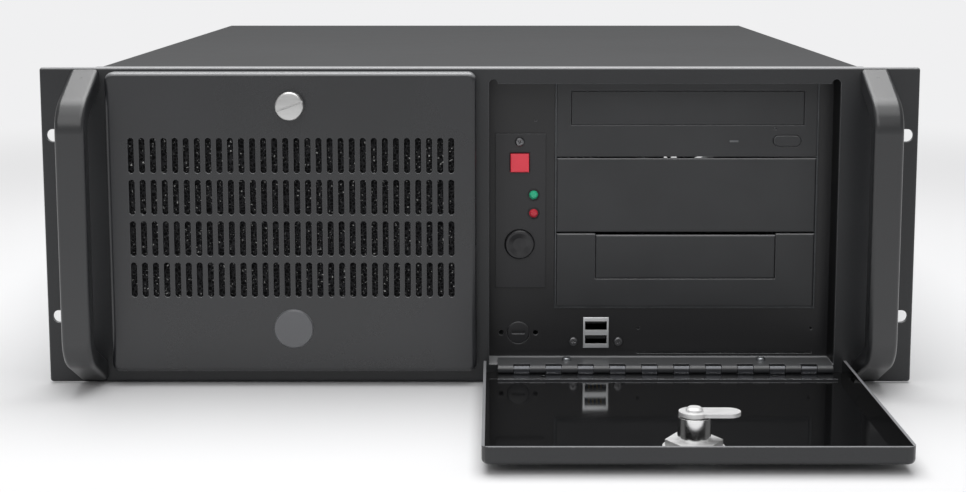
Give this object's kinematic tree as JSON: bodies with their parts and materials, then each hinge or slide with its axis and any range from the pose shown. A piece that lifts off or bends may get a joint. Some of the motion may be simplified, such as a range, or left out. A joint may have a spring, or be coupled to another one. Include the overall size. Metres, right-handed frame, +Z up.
{
  "type": "rack server",
  "caption": "Rack-mounted computer with bow handles on its ears, a slotted filter door and a flip-down drive door that lies open below the drive bays.",
  "frame": {"origin": "centre of the case's underside", "axes": "+X to the right seen from the front, +Y from the front to the rear, +Z up"},
  "size_m": [0.4826, 0.6651, 0.177],
  "materials": {
    "panel_paint": "fine-texture dark grey powder coat on steel sheet",
    "cover_paint": "grey powder coat on steel sheet",
    "black_paint": "satin black enamel on steel sheet",
    "handle_metal": "dark grey coated aluminium bar",
    "zinc_steel": "zinc-plated steel sheet",
    "black_screws": "black oxide steel",
    "nickel": "nickel-plated die casting",
    "badge_metal": "plain turned aluminium disc",
    "filter_foam": "open-cell black filter foam",
    "black_plastic": "black moulded plastic",
    "bezel_plastic": "dark grey moulded plastic",
    "red_plastic": "red moulded plastic",
    "green_lens": "green lamp lens",
    "red_lens": "red lamp lens",
    "disk_metal": "cast aluminium",
    "board_laminate": "green circuit board laminate",
    "brass": "turned brass"
  },
  "bodies": {
    "chassis": {"front_panel": "panel_paint", "ear_brackets": "panel_paint", "bay_panel": "black_paint", "bay_surround": "black_paint", "hinge_fixed_leaf": "black_paint", "control_plate": "black_paint", "port_blank": "black_paint", "handle_left": "handle_metal", "handle_right": "handle_metal", "drive_cage": "zinc_steel", "chassis_tray": "zinc_steel", "rear_panel": "zinc_steel", "optical_case": "zinc_steel", "psu_case": "zinc_steel", "slot_covers": "zinc_steel", "usb_shell": "zinc_steel", "front_screws": "black_screws", "handle_screws": "black_screws", "hinge_pin": "black_screws", "filter_hinge_lugs": "black_screws", "front_fan_frames": "black_plastic", "psu_inlet": "black_plastic", "front_switches": "black_plastic", "usb_tongues": "black_plastic", "memory_modules": "black_plastic", "port_block": "black_plastic", "optical_bezel": "bezel_plastic", "blank_bay_cover": "bezel_plastic", "bay_adapter_bezel": "bezel_plastic", "small_bay_blank": "bezel_plastic", "power_lamp": "green_lens", "disk_lamp": "red_lens", "hard_disk": "disk_metal", "cpu_heatsink": "disk_metal", "motherboard": "board_laminate", "board_standoffs": "brass"},
    "filter_door": {"filter_door": "panel_paint", "filter_hinge_pins": "black_screws", "filter_foam": "filter_foam", "filter_retainer": "zinc_steel", "badge_disc": "badge_metal"},
    "fastener": {"filter_fastener": "nickel"},
    "drive_door": {"drive_door": "black_paint", "hinge_moving_leaf": "black_paint", "lock_barrel": "nickel", "lock_nut": "nickel"},
    "lock_core": {"lock_plug": "nickel", "lock_cam": "nickel", "lock_cam_screw": "nickel"},
    "disc_tray": {"optical_tray": "bezel_plastic"},
    "eject_key": {"eject_button": "bezel_plastic"},
    "reset_key": {"reset_button": "red_plastic"},
    "power_key": {"power_button": "black_plastic"},
    "cover": {"top_cover": "cover_paint", "cover_screws": "black_screws"},
    "fan_left": {"front_fan_rotor_left": "black_plastic"},
    "fan_right": {"front_fan_rotor_right": "black_plastic"},
    "supply_fan": {"psu_fan_rotor": "black_plastic"},
    "rocker": {"psu_switch": "black_plastic"}
  },
  "joints": [
    {"name": "filter_door_hinge", "type": "hinge", "parent": "chassis", "child": "filter_door", "pos_m": [0, -0.25, 0.0131], "axis": [1, 0, 0], "range_deg": [0, 90]},
    {"name": "fastener_turn", "type": "hinge", "parent": "filter_door", "child": "fastener", "pos_m": [-0.103, -0.25, 0.157], "axis": [0, 1, 0], "range_deg": [0, 90]},
    {"name": "drive_door_hinge", "type": "hinge", "parent": "chassis", "child": "drive_door", "pos_m": [0, -0.25, 0.009], "axis": [-1, 0, 0], "range_deg": [0, 90]},
    {"name": "lock_turn", "type": "hinge", "parent": "drive_door", "child": "lock_core", "pos_m": [0.103, -0.391, 0.01], "axis": [0, 0, -1], "range_deg": [0, 90]},
    {"name": "disc_tray_slide", "type": "slide", "parent": "chassis", "child": "disc_tray", "axis": [0, 1, 0], "range_m": [-0.13, 0]},
    {"name": "eject_press", "type": "slide", "parent": "chassis", "child": "eject_key", "axis": [0, 1, 0], "range_m": [0, 0.001], "stiffness_N_per_m": 1000, "springref_m": -0.0005},
    {"name": "reset_press", "type": "slide", "parent": "chassis", "child": "reset_key", "axis": [0, 1, 0], "range_m": [0, 0.0015], "stiffness_N_per_m": 1200, "springref_m": -0.0005},
    {"name": "power_press", "type": "slide", "parent": "chassis", "child": "power_key", "axis": [0, 1, 0], "range_m": [0, 0.002], "stiffness_N_per_m": 1000, "springref_m": -0.0005},
    {"name": "cover_slide", "type": "slide", "parent": "chassis", "child": "cover", "axis": [0, 1, 0], "range_m": [0, 0.45]},
    {"name": "fan_left_spin", "type": "hinge", "parent": "chassis", "child": "fan_left", "pos_m": [-0.1493, -0.23, 0.095], "axis": [0, 1, 0], "continuous": true},
    {"name": "fan_right_spin", "type": "hinge", "parent": "chassis", "child": "fan_right", "pos_m": [-0.0563, -0.23, 0.095], "axis": [0, 1, 0], "continuous": true},
    {"name": "supply_fan_spin", "type": "hinge", "parent": "chassis", "child": "supply_fan", "pos_m": [0.1651, 0.235, 0.1], "axis": [0, 1, 0], "continuous": true},
    {"name": "rocker_tilt", "type": "hinge", "parent": "chassis", "child": "rocker", "pos_m": [0.1891, 0.2418, 0.032], "axis": [1, 0, 0], "range_deg": [0, 16]}
  ]
}
